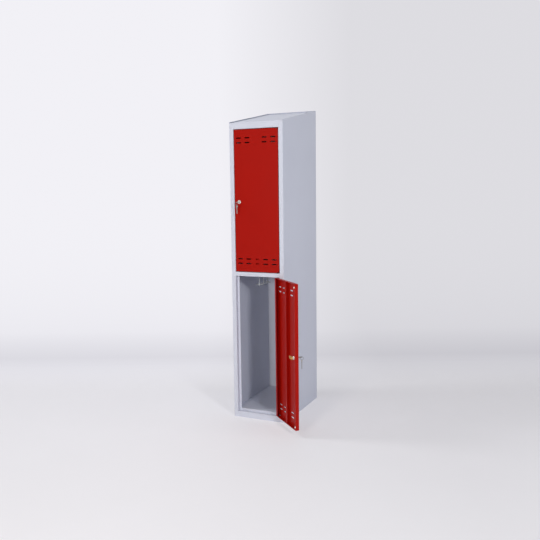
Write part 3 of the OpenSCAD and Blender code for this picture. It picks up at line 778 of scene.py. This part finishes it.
nut_radius = NUT_FLATS / 2 / math.cos(math.pi / 6)
nut_rim = nut_radius + MARGIN
nut_far = SHEET + NUT_HEIGHT
nut = cylinder(nut_radius, NUT_HEIGHT, (0, 0, SHEET + NUT_HEIGHT / 2), sides=6, turn=30)
turned_off = lathe([(0, SHEET), (NUT_FACE, SHEET), (nut_rim, SHEET + NUT_SLOPE),
                    (nut_rim, nut_far - NUT_SLOPE), (NUT_FACE, nut_far), (0, nut_far)], steps=64)
combine(nut, turned_off, "INTERSECT")
drill = cylinder(BARREL_RADIUS + THREAD_PLAY, height=12, at=(0, 0, 3), sides=64)
combine(nut, drill, "DIFFERENCE")
round_edges(nut, width=0.15)

cam_middle = CAM_NEAR + CAM_THICKNESS / 2
cam_end = CAM_REACH - CAM_WIDTH / 2
cam = cylinder(CAM_HUB, CAM_THICKNESS, (0, 0, cam_middle), sides=64)
combine(cam, block((0, -CAM_WIDTH / 2, CAM_NEAR),
                   (cam_end, CAM_WIDTH / 2, CAM_NEAR + CAM_THICKNESS)), "UNION")
combine(cam, cylinder(CAM_WIDTH / 2, CAM_THICKNESS, (cam_end, 0, cam_middle), sides=64), "UNION")
punch = block((-TAIL / 2, -TAIL / 2, PUNCH_NEAR), (TAIL / 2, TAIL / 2, PUNCH_FAR))
combine(cam, punch, "DIFFERENCE")
round_edges(cam, width=0.3)

head_near = CAM_NEAR + CAM_THICKNESS
head_far = head_near + SCREW_HEIGHT
screw = cylinder(SCREW_HEAD, SCREW_HEIGHT, (0, 0, (head_near + head_far) / 2), sides=6, turn=30)
screw_rim = SCREW_HEAD + MARGIN
turned_off = lathe([(0, head_near), (screw_rim, head_near), (screw_rim, head_far - SCREW_SLOPE),
                    (SCREW_FACE, head_far), (0, head_far)], steps=64)
combine(screw, turned_off, "INTERSECT")
slot = block((-SLOT_LENGTH / 2, -SLOT_WIDTH / 2, head_far - SLOT_DEPTH),
             (SLOT_LENGTH / 2, SLOT_WIDTH / 2, head_far + 1))
combine(screw, slot, "DIFFERENCE")
shank_end = head_near + 1
shank = cylinder(SCREW_SHANK, shank_end - SCREW_TIP, (0, 0, (SCREW_TIP + shank_end) / 2))
combine(screw, shank, "UNION")
round_edges(screw, width=0.12)

for level in ("upper", "lower"):
    for piece, name, body, node in ((nut, "hex_nut", "door", "lock_nut"),
                                    (cam, "stamped_cam", "lock", "lock_cam"),
                                    (screw, "hex_screw", "lock", "cam_screw")):
        dress(copies(piece, f"{level}_{name}", [lock_place[level]]), f"{level}_{body}",
              f"{level}_{node}", brass)
remove(nut, cam, screw)

# %% [markdown]
# ## Coat hooks
#
# Each compartment has three double hooks under its ceiling. A hook is a bent steel rod that is
# welded to a plate: a stem straight down, two arms that curve up to the sides, and a ball on each
# tip, so that it doesn't tear a coat. A circle is spun half round for each arm, extruded a little
# upwards, and joined to the stem, the ball and the plate.

# %% Model a double hook
HOOK_DROP, HOOK_SPREAD, ROD_RADIUS, BALL_RADIUS = 118, 22, 3, 4.5
PLATE_LENGTH, PLATE_WIDTH, PLATE_THICKNESS, RIVET_FROM_END = 36, 20, 2, 5
PLATE_CORNER, RIVET_HOLE = 4, 2.1
WELD_HEIGHT, WELD_WIDTH = 4, 2.5
# How deep the stem and its weld go into the plate
STEM_IN_PLATE, WELD_IN_PLATE = 1.2, 0.5
BEND_RADIUS, BEND_STEPS = HOOK_SPREAD / 2, 28
BEND_HEIGHT = -(HOOK_DROP - ROD_RADIUS - BEND_RADIUS)
RIVET_AT = PLATE_LENGTH / 2 - RIVET_FROM_END

hook = block((-PLATE_WIDTH / 2, -PLATE_LENGTH / 2, -PLATE_THICKNESS),
             (PLATE_WIDTH / 2, PLATE_LENGTH / 2, 0))
select_lines(lambda one, other: abs(one.z - other.z) > 1)
edit("EDGE", bpy.ops.mesh.bevel, offset=PLATE_CORNER * MM, segments=5)
for y in (-RIVET_AT, RIVET_AT):
    combine(hook, cylinder(RIVET_HOLE, height=8, at=(0, y, 0)), "DIFFERENCE")
weld_middle = WELD_IN_PLATE - PLATE_THICKNESS - WELD_HEIGHT / 2
weld = cylinder(ROD_RADIUS, WELD_HEIGHT, (0, 0, weld_middle), radius_top=ROD_RADIUS + WELD_WIDTH)
combine(hook, weld, "UNION")
stem_length = -BEND_HEIGHT
stem_middle = STEM_IN_PLATE - PLATE_THICKNESS - stem_length / 2
combine(hook, cylinder(ROD_RADIUS, stem_length, (0, 0, stem_middle), sides=32), "UNION")
for side in (1, -1):
    deselect_all()
    bpy.ops.mesh.primitive_circle_add(vertices=32, radius=ROD_RADIUS * MM, fill_type="NGON",
                                      location=(0, 0, BEND_HEIGHT * MM))
    bpy.ops.object.transform_apply(location=True, rotation=True, scale=True)
    arm = active()
    bpy.ops.object.mode_set(mode="EDIT")
    bpy.ops.mesh.select_all(action="SELECT")
    bpy.ops.mesh.spin(steps=BEND_STEPS, angle=math.pi, axis=(0, -side, 0),
                      center=(side * BEND_RADIUS * MM, 0, BEND_HEIGHT * MM))
    bpy.ops.mesh.extrude_region_move(TRANSFORM_OT_translate={"value": (0, 0, BALL_RADIUS * MM)})
    close_ends()
    deselect_all()
    ball_at = (side * HOOK_SPREAD * MM, 0, (BEND_HEIGHT + BALL_RADIUS) * MM)
    bpy.ops.mesh.primitive_uv_sphere_add(segments=32, ring_count=20, radius=BALL_RADIUS * MM,
                                         location=ball_at)
    bpy.ops.object.transform_apply(location=True, rotation=True, scale=True)
    combine(arm, active(), "UNION")
    combine(hook, arm, "UNION")
round_edges(hook, width=0.4)
lowest = min(point.co.z for point in hook.data.vertices) / MM
print("hook:", len(hook.data.polygons), "faces, lowest point", round(lowest, 1))

# %% [markdown]
# Two blind rivets hold each plate. Pulling one leaves a low dome with a small pit where its pin
# broke off, and that is spun from a profile too.

# %% Model the rivet, and put up the hooks
HOOKS_AT_X, HOOKS_AT_Y = -16, (-215, -157, -99)
CEILING = {"upper": 1800, "lower": 936}

rivet = lathe([(0, 3), (2, 3), (2, 0), (3.6, 0), (3.5, -0.35), (2.9, -0.75), (2, -0.98), (1.15, -1),
               (1, -0.8), (0.9, -0.45), (0, -0.4)], steps=32)
for level in ("upper", "lower"):
    places = [shift(HOOKS_AT_X, y, CEILING[level]) for y in HOOKS_AT_Y]
    dress(copies(hook, f"{level}_coat_hooks", places), "carcass", f"{level}_hooks",
          zinc)
    heads = [place @ shift(0, y, -PLATE_THICKNESS)
             for place in places for y in (-RIVET_AT, RIVET_AT)]
    dress(copies(rivet, f"{level}_blind_rivets", heads), "carcass", f"{level}_hook_rivets",
          rivet_metal)
remove(hook, rivet)

# %% [markdown]
# ## Door buffers
#
# Two soft buttons are pushed into holes in the lip of each door, so that the door doesn't bang on
# the steel. Such a button is moulded with a domed top, a rim that lies on the sheet and a short
# stem, all of it round, so it is spun as well.

# %% Model the buffers
BUFFER_X, BUFFER_Y, BUFFER_FROM_END = -272.2, 17, 20

buffer = lathe([(0, 3.5), (1.8, 3.45), (3.2, 3.2), (4.2, 2.6), (4.8, 1.7), (5, 0.8), (4.9, 0.1),
                (4.7, 0), (2.5, 0), (2.5, -1.8), (1.9, -2.5), (0, -2.5)], steps=32)
for level in ("upper", "lower"):
    heights = (DOOR_GAP + BUFFER_FROM_END, DOOR_GAP + DOOR_HEIGHT - BUFFER_FROM_END)
    places = [door_place[level] @ shift(BUFFER_X, BUFFER_Y, z) @ rotate(-90, "X") for z in heights]
    dress(copies(buffer, f"{level}_domed_buffers", places), f"{level}_door",
          f"{level}_door_buffers", soft_white)
remove(buffer)
